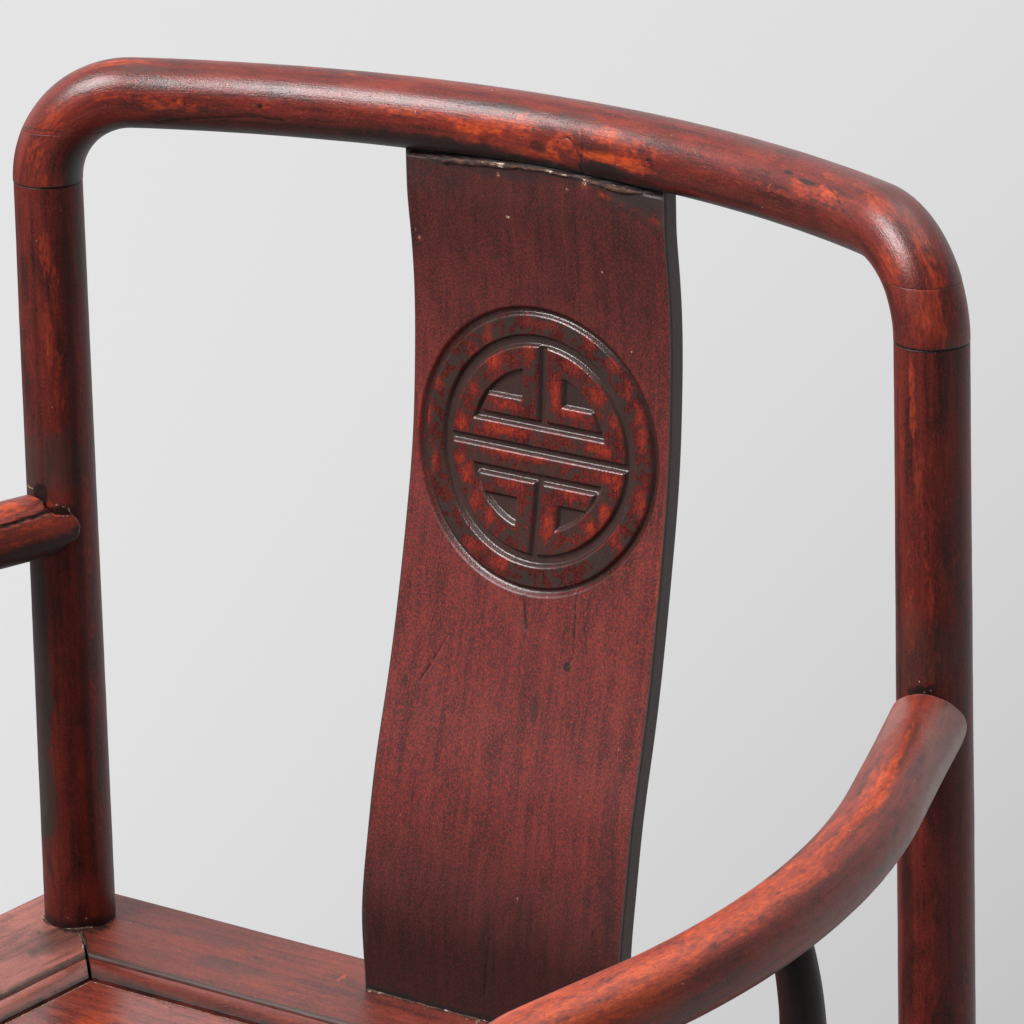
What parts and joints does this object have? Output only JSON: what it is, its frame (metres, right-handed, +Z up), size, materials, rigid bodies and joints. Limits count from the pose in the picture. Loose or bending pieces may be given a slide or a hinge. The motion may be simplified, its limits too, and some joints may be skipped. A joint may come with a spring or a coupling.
{
  "type": "armchair",
  "caption": "Round-post wooden armchair with a bowed crest rail, a carved S-shaped splat, curved arms and a mitred seat frame on stretchered legs.",
  "frame": {"origin": "on the floor, in the middle of the chair's box", "axes": "+Z up, the front faces -Y, +X is to the right of someone in front of the chair"},
  "size_m": [0.6534, 0.4964, 0.9533],
  "materials": {
    "crest_wood": "satin lacquer worn to orange wood",
    "post_wood": "satin lacquer",
    "arm_wood": "satin lacquer worn along the top",
    "splat_wood": "satin lacquer with a carved medallion",
    "frame_wood": "satin lacquer",
    "panel_wood": "satin lacquer, worn",
    "under_wood": "bare dark wood",
    "lower_wood": "satin lacquer"
  },
  "bodies": {
    "root": {"crest_rail": "crest_wood", "splat": "splat_wood", "seat_rail_front": "frame_wood", "seat_rail_back": "frame_wood", "seat_panel": "panel_wood", "foot_rail": "frame_wood", "back_stretcher": "lower_wood", "front_apron": "lower_wood", "back_apron": "lower_wood", "foot_apron": "lower_wood", "rear_leg_left": "post_wood", "rear_leg_right": "post_wood", "front_leg_left": "post_wood", "front_leg_right": "post_wood", "elbow_block_left": "crest_wood", "elbow_block_right": "crest_wood", "arm_left": "arm_wood", "arm_right": "arm_wood", "arm_support_left": "arm_wood", "arm_support_right": "arm_wood", "seat_rail_left": "frame_wood", "seat_rail_right": "frame_wood", "seat_batten_left": "under_wood", "seat_batten_right": "under_wood", "side_stretcher_left": "lower_wood", "side_stretcher_right": "lower_wood", "side_apron_left": "lower_wood", "side_apron_right": "lower_wood", "front_strip_left": "lower_wood", "front_strip_right": "lower_wood"}
  },
  "joints": []
}
